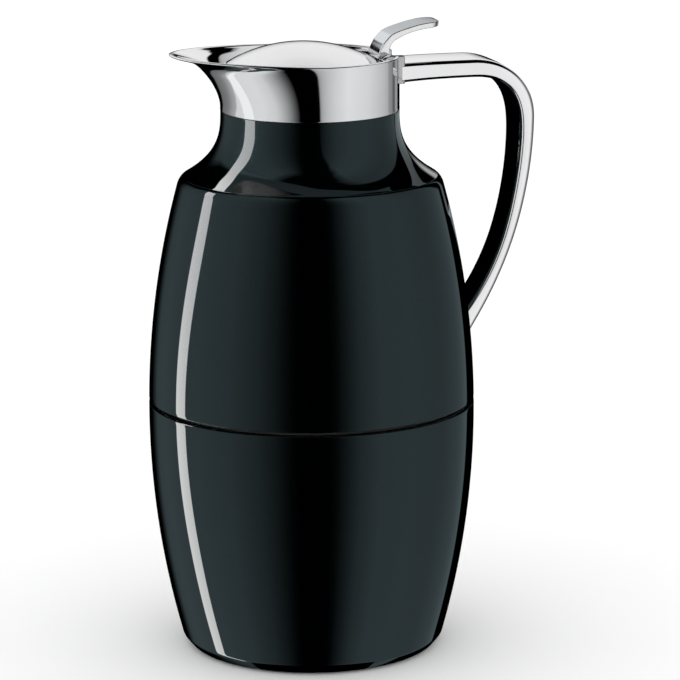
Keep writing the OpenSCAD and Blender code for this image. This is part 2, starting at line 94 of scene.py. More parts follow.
# ---------------------------------------------------------------- outlines and surfaces
def softened(corners, radii, steps=7):
    """A closed outline with rounded corners: each corner becomes the arc that touches
    both of its sides, found by turning the radius from one touching point to the other."""
    p = np.asarray(corners, float)
    back, on = np.roll(p, 1, 0) - p, np.roll(p, -1, 0) - p
    lb, lo = np.linalg.norm(back, axis=1), np.linalg.norm(on, axis=1)
    u, v = back / lb[:, None], on / lo[:, None]
    half = np.arccos(np.clip((u * v).sum(1), -1, 1)) / 2
    reach = np.minimum(np.asarray(radii, float) / np.tan(half), 0.48 * np.minimum(lb, lo))
    r = reach * np.tan(half)
    middle = u + v
    middle /= np.maximum(np.linalg.norm(middle, axis=1), 1e-9)[:, None]
    centre = p + middle * (r / np.sin(half))[:, None]
    turn = np.maximum(np.pi - 2 * half, 1e-6)[:, None, None]
    s = np.linspace(0, 1, steps)[None, :, None]
    a, b = (p + u * reach[:, None] - centre)[:, None], (p + v * reach[:, None] - centre)[:, None]
    arc = centre[:, None] + (np.sin((1 - s) * turn) * a + np.sin(s * turn) * b) / np.sin(turn)
    out = arc.reshape(-1, 2)
    return out[np.linalg.norm(out - np.roll(out, 1, 0), axis=1) > 1e-4]


def bends(line):
    """How sharply a closed outline turns at each point, 0 for flat and 1 for a tight edge."""
    a, b = line - np.roll(line, 1, 0), np.roll(line, -1, 0) - line
    turn = np.abs(np.arctan2(a[:, 0] * b[:, 1] - a[:, 1] * b[:, 0], (a * b).sum(1)))
    span = (np.linalg.norm(a, axis=1) + np.linalg.norm(b, axis=1)) / 2
    return np.clip(turn / span / 1.2, 0, 1)


def through(points, steps):
    """A closed smooth curve through points of any number of coordinates: cubic pieces whose
    slopes are the averages of the neighbouring chords, each weighted by the other's length."""
    p = np.asarray(points, float)
    q = np.roll(p, -1, 0)
    h = np.linalg.norm(q - p, axis=1)[:, None] ** 0.75
    d = (q - p) / h
    m = (np.roll(d, 1, 0) * h + d * np.roll(h, 1, 0)) / (h + np.roll(h, 1, 0))
    s = (np.arange(steps) / steps)[None, :, None]
    p0, p1, m0, m1, hh = p[:, None], q[:, None], m[:, None], np.roll(m, -1, 0)[:, None], h[:, None]
    out = ((2 * s ** 3 - 3 * s ** 2 + 1) * p0 + (s ** 3 - 2 * s ** 2 + s) * hh * m0
           + (3 * s ** 2 - 2 * s ** 3) * p1 + (s ** 3 - s ** 2) * hh * m1)
    return out.reshape(-1, p.shape[1])


def open_curve(points, steps):
    """The smooth curve through points, cut open again between its last and first point."""
    return through(points, steps)[: (len(points) - 1) * steps + 1]


def bezier(a, b, c, d, n):
    """n points of the cubic curve with ends a and d and handles b and c, the last one left out."""
    t = (np.arange(n) / n)[:, None]
    a, b, c, d = (np.asarray(x, float) for x in (a, b, c, d))
    return a * (1 - t) ** 3 + 3 * b * t * (1 - t) ** 2 + 3 * c * t * t * (1 - t) + d * t ** 3


def lattice(rows, columns, close_rows, close_columns, start=0):
    """Four-sided faces of a grid of points, joined up at its ends where asked."""
    i = np.arange(rows if close_rows else rows - 1)
    j = np.arange(columns if close_columns else columns - 1)
    i, j = np.meshgrid(i, j, indexing="ij")
    i2, j2 = (i + 1) % rows, (j + 1) % columns
    quad = np.stack([i * columns + j, i * columns + j2, i2 * columns + j2, i2 * columns + j], -1)
    return quad.reshape(-1, 4) + start


def put(name, grids, body, finish, stands_for=(), crease=42):
    """One mesh from a list of grids (points in mm as rows x columns x 3, wear as rows x columns,
    whether rows and columns close). Points that fall together are merged, which closes poles."""
    points, quads, wear, n = [], [], [], 0
    for xyz, worn, close_rows, close_columns in grids:
        rows, columns = xyz.shape[:2]
        points.append(xyz.reshape(-1, 3) * MM)
        wear.append(np.broadcast_to(worn, (rows, columns)).reshape(-1))
        quads.append(lattice(rows, columns, close_rows, close_columns, n))
        n += rows * columns
    points, quads, wear = np.concatenate(points), np.concatenate(quads), np.concatenate(wear)
    mesh = bpy.data.meshes.new(name)
    mesh.from_pydata(points.tolist(), [], quads.tolist())
    mesh.attributes.new("wear", "FLOAT", "POINT").data.foreach_set("value", wear.astype(np.float32))
    bm = bmesh.new()
    bm.from_mesh(mesh)
    bmesh.ops.remove_doubles(bm, verts=bm.verts, dist=2e-7)
    bmesh.ops.dissolve_degenerate(bm, edges=bm.edges, dist=1e-8)
    bm.to_mesh(mesh)
    bm.free()
    mesh.polygons.foreach_set("use_smooth", np.ones(len(mesh.polygons), bool))
    mesh.set_sharp_from_angle(angle=np.radians(crease))
    mesh.materials.append(finish)
    piece = bpy.data.objects.new(name, mesh)
    bpy.context.scene.collection.objects.link(piece)
    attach(piece, body)
    if stands_for:
        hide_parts(*stands_for)
    return piece


def turned(outline, sides=192):
    """An outline of (radius, height) carried round the upright axis."""
    o = np.asarray(outline, float)
    t = np.arange(sides) * 2 * np.pi / sides
    xyz = np.stack([o[:, :1] * np.cos(t), o[:, :1] * np.sin(t), np.repeat(o[:, 1:], sides, 1)], -1)
    return xyz, bends(o)[:, None], True, True


def turned_across(outline, centre, sides=64):
    """An outline of (radius, distance along Y) carried round a level axis along Y."""
    o = np.asarray(outline, float)
    t = np.arange(sides) * 2 * np.pi / sides
    xyz = np.stack([centre[0] + o[:, :1] * np.cos(t), np.repeat(o[:, 1:], sides, 1),
                    centre[1] - o[:, :1] * np.sin(t)], -1)
    return xyz, bends(o)[:, None], True, True


def extruded_across(outline, half, radius=0.5, steps=5):
    """A flat outline in X and Z carried along Y, with its two end faces drawn in along a
    quarter circle so that their edges are round, and closed at the outline's middle."""
    o = np.asarray(outline, float)
    middle = o.mean(0)
    edge, after = o - np.roll(o, 1, 0), np.roll(o, -1, 0) - o
    side = edge / np.linalg.norm(edge, axis=1)[:, None] + after / np.linalg.norm(after, axis=1)[:, None]
    out = np.stack([side[:, 1], -side[:, 0]], -1)
    out /= np.linalg.norm(out, axis=1)[:, None]
    a = np.linspace(0, np.pi / 2, steps)
    inset = np.concatenate([radius * (1 - np.sin(a)), radius * (1 - np.sin(a[::-1]))])
    y = np.concatenate([-half + radius * (1 - np.cos(a)), half - radius * (1 - np.cos(a[::-1]))])
    ring = o[None] - out[None] * inset[:, None, None]
    ring = np.concatenate([np.broadcast_to(middle, (1,) + o.shape), ring,
                           np.broadcast_to(middle, (1,) + o.shape)])
    y = np.concatenate([[-half], y, [half]])
    worn = np.concatenate([[0.0], np.sin(2 * a), np.sin(2 * a[::-1]), [0.0]])
    xyz = np.stack([ring[..., 0], np.broadcast_to(y[:, None], ring.shape[:2]), ring[..., 1]], -1)
    return xyz[:, ::-1], worn[:, None], False, True


def strap(outer, inner, half, corner, crown, side_crown=0.0):
    """A strap between an outer and an inner line in X and Z. At each station its section is a
    rounded rectangle: its corner arcs keep their radius while its sides move with the width
    and the thickness, its broad faces are crowned by a parabola and so are its narrow ones."""
    outer, inner, half = (np.asarray(x, float) for x in (outer, inner, half))
    thick = np.linalg.norm(outer - inner, axis=1)
    middle, out = (outer + inner) / 2, (outer - inner) / thick[:, None]
    f = np.linspace(-1, 1, 13)[1:-1]
    a = np.linspace(0, np.pi / 2, 9)
    g = np.linspace(-1, 1, 9)[1:-1]
    one = np.ones_like(a)
    c, d = corner, side_crown
    # columns: share of the half width, its offset, share of the half thickness, its offset
    quarter = [(one, -d - c + c * np.cos(a), one, -crown - c + c * np.sin(a)),
               (-one, d + c - c * np.sin(a), one, -crown - c + c * np.cos(a)),
               (-one, d + c - c * np.cos(a), -one, crown + c - c * np.sin(a)),
               (one, -d - c + c * np.sin(a), -one, crown + c - c * np.cos(a))]
    broad = [(-f, 0 * f, 0 * f + 1, -crown * f ** 2), (0 * g - 1, d * g ** 2, -g, 0 * g),
             (f, 0 * f, 0 * f - 1, crown * f ** 2), (0 * g + 1, -d * g ** 2, g, 0 * g)]
    parts = [x for pair in zip(quarter, broad) for x in pair]
    pw, p0, tw, t0 = (np.concatenate([x[k] for x in parts]) for k in range(4))
    worn = np.concatenate([np.concatenate([np.sin(2 * a), 0 * b[0]]) for b in broad])
    is_side = np.concatenate([np.concatenate([0 * a, np.full(len(b[0]), float(k % 2))])
                              for k, b in enumerate(broad)])
    w, t = half[:, None], thick[:, None] / 2
    p = pw * np.maximum(w, c) + p0
    q = tw * (np.maximum(t, c + crown) - is_side * (c + crown)) + t0
    xyz = np.stack([middle[:, :1] + out[:, :1] * q, p, middle[:, 1:] + out[:, 1:] * q], -1)
    first = np.broadcast_to(np.append(middle[0], 0)[[0, 2, 1]], (1, p.shape[1], 3))
    last = np.broadcast_to(np.append(middle[-1], 0)[[0, 2, 1]], (1, p.shape[1], 3))
    xyz = np.concatenate([first, xyz, last])
    return xyz, np.broadcast_to(worn, xyz.shape[:2]), False, True


def facing(outer, inner):
    """For each point of the outer line, the point of the inner line that lies square to it,
    evened out along the line by a cosine-shaped running mean."""
    along = np.gradient(outer, axis=0)
    along /= np.linalg.norm(along, axis=1)[:, None]
    gap = inner[None] - outer[:, None]
    far = np.linalg.norm(gap, axis=2)
    off = np.abs((gap * along[:, None]).sum(2)) + 0.02 * far
    near = inner[np.argmin(off, axis=1)]
    ends = np.concatenate([np.repeat(near[:1], 6, 0), near, np.repeat(near[-1:], 6, 0)])
    weight = np.hanning(15)[1:-1] / np.hanning(15).sum()
    even = np.stack([np.convolve(ends[:, k], weight, "valid") for k in range(2)], 1)
    even[0], even[-1] = near[0], near[-1]
    return even


# ---------------------------------------------------------------- finishes
def new_finish(name):
    """A material with its shader, and the object's own coordinates in metres."""
    m = bpy.data.materials.new(name)
    m.use_nodes = True
    shader = m.node_tree.nodes["Principled BSDF"]
    place = m.node_tree.nodes.new("ShaderNodeTexCoord")
    return m, m.node_tree, shader, place.outputs["Object"]


def stretched(nt, coords, scale):
    """Coordinates stretched by a factor along each axis."""
    n = nt.nodes.new("ShaderNodeMapping")
    n.inputs["Scale"].default_value = scale
    nt.links.new(coords, n.inputs["Vector"])
    return n.outputs["Vector"]


def noise(nt, coords, scale, detail=3.0, rough=0.55):
    n = nt.nodes.new("ShaderNodeTexNoise")
    n.inputs["Scale"].default_value = scale
    n.inputs["Detail"].default_value = detail
    n.inputs["Roughness"].default_value = rough
    nt.links.new(coords, n.inputs["Vector"])
    return n.outputs["Fac"]


def spread(nt, value, low, high, to_low, to_high):
    """A value between low and high, laid out between to_low and to_high."""
    n = nt.nodes.new("ShaderNodeMapRange")
    for k, v in zip(("From Min", "From Max", "To Min", "To Max"), (low, high, to_low, to_high)):
        n.inputs[k].default_value = v
    nt.links.new(value, n.inputs["Value"])
    return n.outputs["Result"]


def blend_colours(nt, value, stops):
    n = nt.nodes.new("ShaderNodeValToRGB")
    while len(n.color_ramp.elements) < len(stops):
        n.color_ramp.elements.new(0.5)
    for e, (at, c) in zip(n.color_ramp.elements, stops):
        e.position, e.color = at, (*c, 1)
    nt.links.new(value, n.inputs["Fac"])
    return n.outputs["Color"]


def both(nt, a, b, how="ADD"):
    n = nt.nodes.new("ShaderNodeMath")
    n.operation = how
    nt.links.new(a, n.inputs[0])
    if isinstance(b, (int, float)):
        n.inputs[1].default_value = b
    else:
        nt.links.new(b, n.inputs[1])
    return n.outputs["Value"]


def wear_of(nt):
    n = nt.nodes.new("ShaderNodeAttribute")
    n.attribute_name = "wear"
    return n.outputs["Fac"]


def relief(nt, shader, height, depth, strength=1.0, into="Normal"):
    n = nt.nodes.new("ShaderNodeBump")
    n.inputs["Distance"].default_value = depth
    n.inputs["Strength"].default_value = strength
    nt.links.new(height, n.inputs["Height"])
    nt.links.new(n.outputs["Normal"], shader.inputs[into])


def lacquer():
    """Black stoving lacquer: metal flecks of a third of a millimetre in a dark ground under a
    clear coat with a faint orange peel, paler where its edges are rubbed."""
    m, nt, s, xyz = new_finish("black_fleck_lacquer")
    cells = nt.nodes.new("ShaderNodeTexVoronoi")
    cells.inputs["Scale"].default_value = 2300
    nt.links.new(xyz, cells.inputs["Vector"])
    tone = nt.nodes.new("ShaderNodeSeparateColor")
    nt.links.new(cells.outputs["Color"], tone.inputs["Color"])
    cloud = noise(nt, xyz, 60, 3)
    fleck = both(nt, tone.outputs[0], spread(nt, cloud, 0.3, 0.7, 0.9, 1.1), "MULTIPLY")
    rubbed = both(nt, fleck, both(nt, wear_of(nt), 0.25, "MULTIPLY"))
    tones = [(0.0, (0.0018, 0.0030, 0.0034)), (0.55, (0.0026, 0.0046, 0.0052)),
             (0.86, (0.0036, 0.0064, 0.0072)), (1.0, (0.006, 0.0105, 0.0115))]
    nt.links.new(blend_colours(nt, rubbed, tones), s.inputs["Base Color"])
    s.inputs["Metallic"].default_value = 1.0
    nt.links.new(spread(nt, noise(nt, xyz, 35, 4), 0.3, 0.7, 0.26, 0.31), s.inputs["Roughness"])
    s.inputs["Specular Tint"].default_value = (0.08, 0.1, 0.1, 1)
    s.inputs["Coat Weight"].default_value = 1.0
    s.inputs["Coat IOR"].default_value = 1.5
    s.inputs["Coat Roughness"].default_value = 0.015
    relief(nt, s, tone.outputs[1], 0.00002, 0.25)
    relief(nt, s, noise(nt, xyz, 140, 2), 0.000015, 0.12, "Coat Normal")
    return m


def metal(name, colour, rough, grain=None, grain_depth=0.0, wear_rough=0.06, smear=0.02):
    """Bare metal: its tone and gloss drift a little over the surface, rubbed edges are duller,
    and where a grain is asked for it is a long fine noise along one axis."""
    m, nt, s, xyz = new_finish(name)
    cloud = noise(nt, xyz, 45, 4)
    c = np.array(colour)
    tones = [(0.25, tuple(c * 0.965)), (0.55, tuple(c)), (0.8, tuple(np.minimum(c * 1.025, 1)))]
    nt.links.new(blend_colours(nt, cloud, tones), s.inputs["Base Color"])
    s.inputs["Metallic"].default_value = 1.0
    r = spread(nt, noise(nt, xyz, 18, 5, 0.65), 0.35, 0.7, rough, rough + smear)
    r = both(nt, r, both(nt, wear_of(nt), wear_rough, "MULTIPLY"))
    if grain:
        lines = noise(nt, stretched(nt, xyz, grain), 1, 3, 0.6)
        r = both(nt, r, spread(nt, lines, 0.3, 0.7, -0.03, 0.06))
        relief(nt, s, lines, grain_depth, 0.5)
    else:
        relief(nt, s, noise(nt, xyz, 900, 2), 0.000002, 0.15)
    nt.links.new(r, s.inputs["Roughness"])
    return m


def moulding(name, colour, rough, speck=700, depth=0.00003, sheen=0.0):
    """Moulded plastic or rubber: a fine spark-eroded texture, cloudy gloss and paler rubbed edges."""
    m, nt, s, xyz = new_finish(name)
    cloud = noise(nt, xyz, 30, 4)
    c = np.array(colour)
    tone = both(nt, cloud, both(nt, wear_of(nt), 0.2, "MULTIPLY"))
    tones = [(0.3, tuple(c * 0.82)), (0.6, tuple(c)), (0.85, tuple(np.minimum(c * 1.35 + 0.01, 1)))]
    nt.links.new(blend_colours(nt, tone, tones), s.inputs["Base Color"])
    nt.links.new(spread(nt, cloud, 0.3, 0.7, rough - 0.05, rough + 0.07), s.inputs["Roughness"])
    s.inputs["Sheen Weight"].default_value = sheen
    relief(nt, s, noise(nt, xyz, speck, 2), depth, 0.4)
    return m


def flask_silver():
    """Silvered flask glass: a warm mirror with cloudy streaks where the silver ran."""
    m, nt, s, xyz = new_finish("silvered_glass")
    run = noise(nt, stretched(nt, xyz, (60, 60, 9)), 1, 5, 0.6)
    tones = [(0.3, (0.62, 0.6, 0.56)), (0.55, (0.8, 0.79, 0.76)), (0.8, (0.86, 0.85, 0.83))]
    nt.links.new(blend_colours(nt, run, tones), s.inputs["Base Color"])
    s.inputs["Metallic"].default_value = 0.95
    nt.links.new(spread(nt, run, 0.3, 0.75, 0.16, 0.05), s.inputs["Roughness"])
    s.inputs["Coat Weight"].default_value = 1.0
    s.inputs["Coat Roughness"].default_value = 0.02
    relief(nt, s, noise(nt, xyz, 55, 3), 0.0002, 0.15)
    return m


LACQUER = lacquer()
CHROME = metal("polished_chrome", (0.80, 0.80, 0.81), 0.035)
SATIN = metal("satin_steel", (0.66, 0.665, 0.67), 0.075, grain=(2600, 25, 2600), grain_depth=0.000006,
              wear_rough=0.03)
STEEL = metal("plain_steel", (0.56, 0.555, 0.55), 0.24, grain=(900, 900, 60), grain_depth=0.00001, smear=0.08)
BOWL = metal("spun_steel", (0.72, 0.72, 0.715), 0.14, smear=0.05)
SPRING = metal("drawn_spring_steel", (0.5, 0.49, 0.47), 0.28, grain=(400, 3000, 400), grain_depth=0.00001)
BLACK_PLASTIC = moulding("black_moulding", (0.018, 0.018, 0.019), 0.46)
PALE_FOAM = moulding("pale_foam", (0.75, 0.72, 0.64), 0.85, 260, 0.0004)
BLACK_RUBBER = moulding("black_rubber", (0.022, 0.022, 0.022), 0.72, 420, 0.00008, sheen=0.2)
SEAL_RUBBER = moulding("clear_silicone", (0.66, 0.65, 0.61), 0.4, 300, 0.00003)
SPACER = moulding("spacer_fibre", (0.55, 0.53, 0.47), 0.8, 500, 0.0002)
SILVER = flask_silver()


# ---------------------------------------------------------------- the two shells
z = np.linspace(4.6, LOW_TOP, 60)
zi = np.linspace(LOW_TOP, 6.5, 40)
low = np.concatenate([[[53.15, 4.1], [53.15, 0.68], [54.2, 0.68]], np.stack([barrel(z), z], 1),
                      np.stack([barrel(zi) - WALL, zi], 1), [[46.1, 6.5], [46.1, 4.1]]])
r_low = np.zeros(len(low))
r_low[[1, 2, 3, 62, 63]] = [0.25, 3.6, 3.6, 0.45, 0.3]
low = softened(low, r_low)
put("lower_body", [turned(low, 256)], "cup", LACQUER, ["lower_shell"])

SEAM_T = 0.965
seam = np.array([neck(SEAM_T), SHOULDER_Z + NECK_H * (1 - SEAM_T)])
brow_z = SHOULDER_Z - 2.8
brow_start, corner = np.array([float(barrel(brow_z)), brow_z]), np.array([SH_R, SHOULDER_Z])
brow = bezier(brow_start, brow_start + (corner - brow_start) * 0.6,
              seam + (corner - seam) * 0.6, seam, 12)[1:]
z = np.linspace(UP_BOT, brow_z, 54)
zi = np.linspace(SHOULDER_Z - 1.6, UP_BOT, 40)
up = np.concatenate([np.stack([barrel(z), z], 1), brow, [seam - [0, 0.05], seam - [0.7, 0.25]],
                     np.stack([barrel(zi) - WALL, zi], 1)])
r_up = np.zeros(len(up))
r_up[[0, len(up) - 1]] = [0.4, 0.3]
up = softened(up, r_up)
put("upper_body", [turned(up, 256)], "jug", LACQUER, ["upper_shell"])

t = np.linspace(SEAM_T, 0, 43)
ti = np.linspace(0, 1, 30)
throat = np.concatenate([np.stack([neck(t), SHOULDER_Z + NECK_H * (1 - t)], 1),
                         [[29.2, NECK_Z], [29.2, NECK_Z - 2.2], [NECK_R - WALL, NECK_Z - 2.2]],
                         np.stack([neck(ti[3:-1]) - WALL, SHOULDER_Z - 1.2 + NECK_H * (1 - ti[3:-1])], 1),
                         [[SH_R - WALL - 0.6, SHOULDER_Z - 1.3], [seam[0] - 0.5, SHOULDER_Z - 0.7]]])
r_th = np.zeros(len(throat))
r_th[[0, 42]] = [0.12, 0.35]
throat = softened(throat, r_th)
put("neck_and_shoulder", [turned(throat, 256)], "jug", LACQUER, ["upper_shell"])

band = softened([[64.05, 109.42], [67.6, 109.42], [67.6, 111.5], [64.05, 111.5]], [0.2] * 4)
put("groove_band", [turned(band, 160)], "jug", BLACK_RUBBER, ["seam_band"])

# ---------------------------------------------------------------- the foot
plate = softened([[0, 1.3], [53.0, 1.3], [53.0, 4.0], [0, 4.0]], [0, 0.4, 0.4, 0])
put("base_disc", [turned(plate, 128)], "cup", BLACK_PLASTIC, ["base_plate"])
grooves = np.linspace(50.5, 6.5, 12)
under = np.stack([np.repeat(grooves, 4) - np.tile([0, 0.35, 0.95, 1.3], 12),
                  np.tile([0, 0.45, 0.45, 0], 12)], 1)
pad = np.concatenate([under[::-1], [[52.4, 0.0], [52.4, 1.3], [0, 1.3], [0, 0.0]]])
r_pad = np.concatenate([np.tile([0.12], 48), [0.35, 0.1, 0, 0]])
put("foot_ring_pad", [turned(softened(pad, r_pad, 4), 128)], "cup", BLACK_RUBBER, ["foot_pad"])

# ---------------------------------------------------------------- the collar
# share of the height, share of the lip's length, distance inside the outer wall, fullness
LEVELS = [[0.0, 0.0, 0.12, 2.0], [0.006, 0.0, 0.0, 2.0], [0.06, 0.002, 0.0, 2.0], [0.13, 0.006, 0.0, 2.0],
          [0.31, 0.055, 0.0, 2.0], [0.48, 0.14, 0.0, 2.0], [0.6, 0.222, 0.0, 2.0], [0.71, 0.318, 0.0, 2.0],
          [0.8, 0.412, 0.0, 2.0], [0.865, 0.505, 0.0, 2.02], [0.92, 0.65, 0.0, 2.08], [0.948, 0.82, 0.0, 2.14],
          [0.965, 0.93, 0.0, 2.18], [0.979, 0.976, 0.0, 2.2], [0.992, 0.992, 0.22, 2.2], [1.0, 0.987, 0.75, 2.2],
          [1.0, 0.972, 1.45, 2.2], [0.993, 0.95, 1.98, 2.2], [0.981, 0.905, 2.2, 2.19], [0.968, 0.84, 2.2, 2.17],
          [0.935, 0.69, 2.2, 2.1], [0.885, 0.53, 2.2, 2.03], [0.8, 0.39, 2.2, 2.0], [0.68, 0.26, 2.2, 2.0],
          [0.5, 0.12, 2.2, 2.0], [0.3, 0.02, 2.2, 2.0], [0.12, 0.004, 2.2, 2.0], [0.006, 0.0, 2.2, 2.0],
          [0.0, 0.0, 2.08, 2.0]]
CUT_Y, CUT_Z = 13.05, 248.15


def collar_surface():
    """A closed ring of levels. At the back each level is a circle. Towards the lip it is an oval:
    the way along it is the cosine to the power two over the fullness, and its extra length goes
    with a further power of that, from 1.6 up to 2 as the oval gets fuller. The height rises
    with the power 1.25 of the cosine. Behind, the wall stops at a sill for the hinge, and the
    levels above the sill lie on it side by side, from the outer radius to the inner."""
    lv = np.array(LEVELS)
    scaled = through(lv * [23.3, 22.7, 1.0, 1.0], 5)
    h, share, inset, power = (scaled / [23.3, 22.7, 1.0, 1.0]).T
    h = np.clip(h, 0, 1.0)
    power = np.maximum(power, 2.0)
    b = NECK_R - inset
    a = b + (LIP_X - NECK_R) * share
    edge = np.arcsin(CUT_Y / b)[:, None]
    above = np.nonzero(COLLAR_Z + 23.2 * h > CUT_Z)[0]
    sill = b.copy()
    sill[above[0]:above[-1] + 1] = np.linspace(NECK_R, NECK_R - COLLAR_T, above[-1] - above[0] + 1)
    inside = np.linspace(-1, 1, 17)[None]
    round_ = np.linspace(0, 1, 260)[None]
    window = np.arcsin(CUT_Y * inside / sill[:, None])
    rest = edge + (2 * np.pi - 2 * edge) * round_
    t = np.concatenate([window, rest], 1)
    ring_r = np.where(np.arange(t.shape[1]) < 17, sill[:, None], b[:, None])
    c, s = np.cos(t), np.sin(t)
    back = c >= 0
    n = power[:, None]
    way = np.abs(c) ** (2 / n)
    longer = (a - b)[:, None] * way ** (1.6 + 2 * (n - 2))
    x = np.where(back, ring_r * c, -b[:, None] * way - longer)
    y = np.where(back, ring_r * s, np.sign(s) * b[:, None] * np.abs(s) ** (2 / n))
    zz = COLLAR_Z + 23.2 * h[:, None] + np.where(back, 0, (LIP_RISE * h * share)[:, None] * np.abs(c) ** 1.25)
    zz[:, :17] = np.minimum(zz[:, :17], CUT_Z)
    xyz = np.stack([x, y, zz], -1)
    turn = bends(np.stack([a, COLLAR_Z + 23.2 * h], 1))
    return xyz, turn[:, None], True, True


put("collar_with_lip", [collar_surface()], "jug", CHROME, ["collar"])

bowl = softened([[19.3, 237.7], [28.1, 237.7], [28.1, 239.7], [36.25, 239.7], [36.25, 242.8], [26.6, 240.4],
                 [20.3, 240.4], [19.3, 239.6]], [0, 0, 0, 0.2, 0.3, 1.5, 0.5, 0.5])
put("pouring_bowl", [turned(bowl, 160)], "jug", BOWL, ["pour_ring"])

# ---------------------------------------------------------------- the hinge block
saddle = softened([[33.5, 248.25], [38.98, 248.25], [38.98, 257.95], [37.3, 257.95], [37.3, 254.0],
                   [33.5, 254.0]], [0.3, 0.2, 0.2, 0.2, 0.2, 0.2])


def lug(y0, y1):
    """A hinge lug: a quarter-rounded plate in X and Z whose nose follows the pin, carried along Y."""
    a = np.linspace(np.pi * 0.5, np.pi * 1.5, 25)
    nose = np.stack([PIN_X + 3 * np.cos(a), PIN_Z + 3 * np.sin(a)], 1)
    back = [[34.2, 254.35], [34.2, 248.3], [38.95, 248.3], [38.95, 260.3], [35.5, 260.3]]
    line = np.concatenate([nose, back])
    radii = np.zeros(len(line))
    radii[-len(back):] = [0.4, 0.3, 0.2, 0.6, 0.0]
    line = softened(line, radii, 5)
    xyz, worn, r, c = extruded_across(line, (y1 - y0) / 2, 0.35)
    return xyz + np.array([0, (y0 + y1) / 2, 0]), worn, r, c


put("hinge_seat", [lug(9.05, 12.8), lug(-12.8, -9.05), extruded_across(saddle, 9.1, 0.05)],
    "jug", CHROME, ["hinge_block"])

pin = softened([[0, -12.7], [1.5, -12.7], [1.5, 12.7], [0, 12.7]], [0, 0.5, 0.5, 0])
put("hinge_pin", [turned_across(pin, (PIN_X, PIN_Z), 40)], "jug", STEEL, ["lid_pin"])

# ---------------------------------------------------------------- the handle
ARM_Z, REACH, FOOT_Z = RIM_Z - 2.8, 97.7, 137.2
h_a, h_b, h_c = np.array([37.7, ARM_Z - 0.5]), np.array([70, ARM_Z]), np.array([REACH, ARM_Z - 26.5])
h_d = np.array([float(barrel(FOOT_Z)) - 0.6, FOOT_Z])
lead = np.array([0.546, 0.838])
k_a, k_b = np.array([37.7, ARM_Z - 9.2]), np.array([71, ARM_Z - 8.0])
k_c = np.array([REACH - 6.2, ARM_Z - 34])
k_d = h_d + [-1.8, 5.4]
outer = np.concatenate([bezier(h_a, h_a + [10, 0.5], h_b - [10, 0], h_b, 24),
                        bezier(h_b, h_b + [(h_c[0] - h_b[0]) * 0.58, 0], h_c + [0, 15.4], h_c, 60),
                        bezier(h_c, h_c - [0, 32], h_d + lead * 37, h_d, 80), [h_d]])
inner = np.concatenate([bezier(k_a, k_a + [10, 1], k_b - [10, 0], k_b, 800),
                        bezier(k_b, k_b + [(k_c[0] - k_b[0]) * 0.68, 0], k_c + [0, 17.5], k_c, 1200),
                        bezier(k_c, k_c - [0, 27], k_d + lead * 32, k_d, 1600), [k_d]])
matched = facing(outer, inner)
matched[0] = k_a
down_loop = np.clip((ARM_Z - 8 - outer[:, 1]) / 60, 0, 1)
down_loop = down_loop ** 2 * (3 - 2 * down_loop)
near_foot = np.clip((178 - outer[:, 1]) / 38, 0, 1) ** 2
inward = (matched - outer) / np.linalg.norm(matched - outer, axis=1)[:, None]
matched = matched + inward * (1.2 * down_loop + 2.0 * near_foot)[:, None]
xyz, worn, r, c = strap(outer, matched, 13 - 2.2 * down_loop, 1.9, 0.2, 0.05)
inside = np.sqrt(np.maximum(barrel(np.minimum(xyz[..., 2], 200)) ** 2 - xyz[..., 1] ** 2, 0)) - 1.6
xyz[..., 0] = np.where(xyz[..., 2] < 165, np.maximum(xyz[..., 0], inside), xyz[..., 0])
heel = softened([[67.9, 137.4], [69.1, 138.2], [72.6, 146.2], [69.3, 148.6], [67.4, 148.6]],
                [0.2, 0.5, 0.8, 0.5, 0.2])
strap_piece = put("strap_handle", [(xyz, worn, r, c), extruded_across(heel, 9.6, 0.6)],
                  "jug", CHROME, ["handle"])
strap_piece.visible_glossy = False  # kept out of the jug's own mirror image, as a studio's flag does

# ---------------------------------------------------------------- the lid
DOME_C = (LID_R ** 2 + DOME_H ** 2) / (2 * DOME_H)
DOME_Z = EDGE_Z + DOME_H - DOME_C


def dome_surface():
    """The lid's dome turned round its own axis: a ball's cap, a rolled edge and a short skirt,
    then the same again inside. Behind, the edge is held back to a flat for the lever."""
    a = np.linspace(0, 1, 48)
    r_out = 31.6 * a
    top = np.stack([r_out, DOME_Z + np.sqrt(DOME_C ** 2 - r_out ** 2)], 1)[::-1]
    r_in = 30.8 * a[::2]
    low_side = np.stack([r_in, DOME_Z + np.sqrt((DOME_C - 1.4) ** 2 - r_in ** 2)], 1)
    skirt = [[31.9, 255.75], [33.15, 255.75], [33.15, EDGE_Z + 0.12]]
    line = np.concatenate([skirt, top, low_side, [[31.8, EDGE_Z - 1.3]]])
    radii = np.zeros(len(line))
    radii[[0, 1, 2, 3]] = [0.1, 0.35, 0.9, 0.9]
    line = softened(line, radii, 8)
    n = len(line)
    flat_half, flat_columns = 8.95, 21
    side = np.arcsin(flat_half / LID_R)
    t = np.concatenate([np.linspace(-side, side, flat_columns), np.linspace(side, 2 * np.pi - side, 240)])
    xyz = np.stack([LID_X + line[:, :1] * np.cos(t), line[:, :1] * np.sin(t),
                    np.repeat(line[:, 1:], len(t), 1)], -1)
    outside = np.arange(n)[:, None] < n * 0.68
    flat = np.where(outside, 27.7, 26.4)
    xyz[:, :flat_columns, 0] = np.minimum(xyz[:, :flat_columns, 0], flat)
    return xyz, bends(line)[:, None], True, True


put("lid_dome", [dome_surface()], "lid", CHROME, ["lid_cap"])

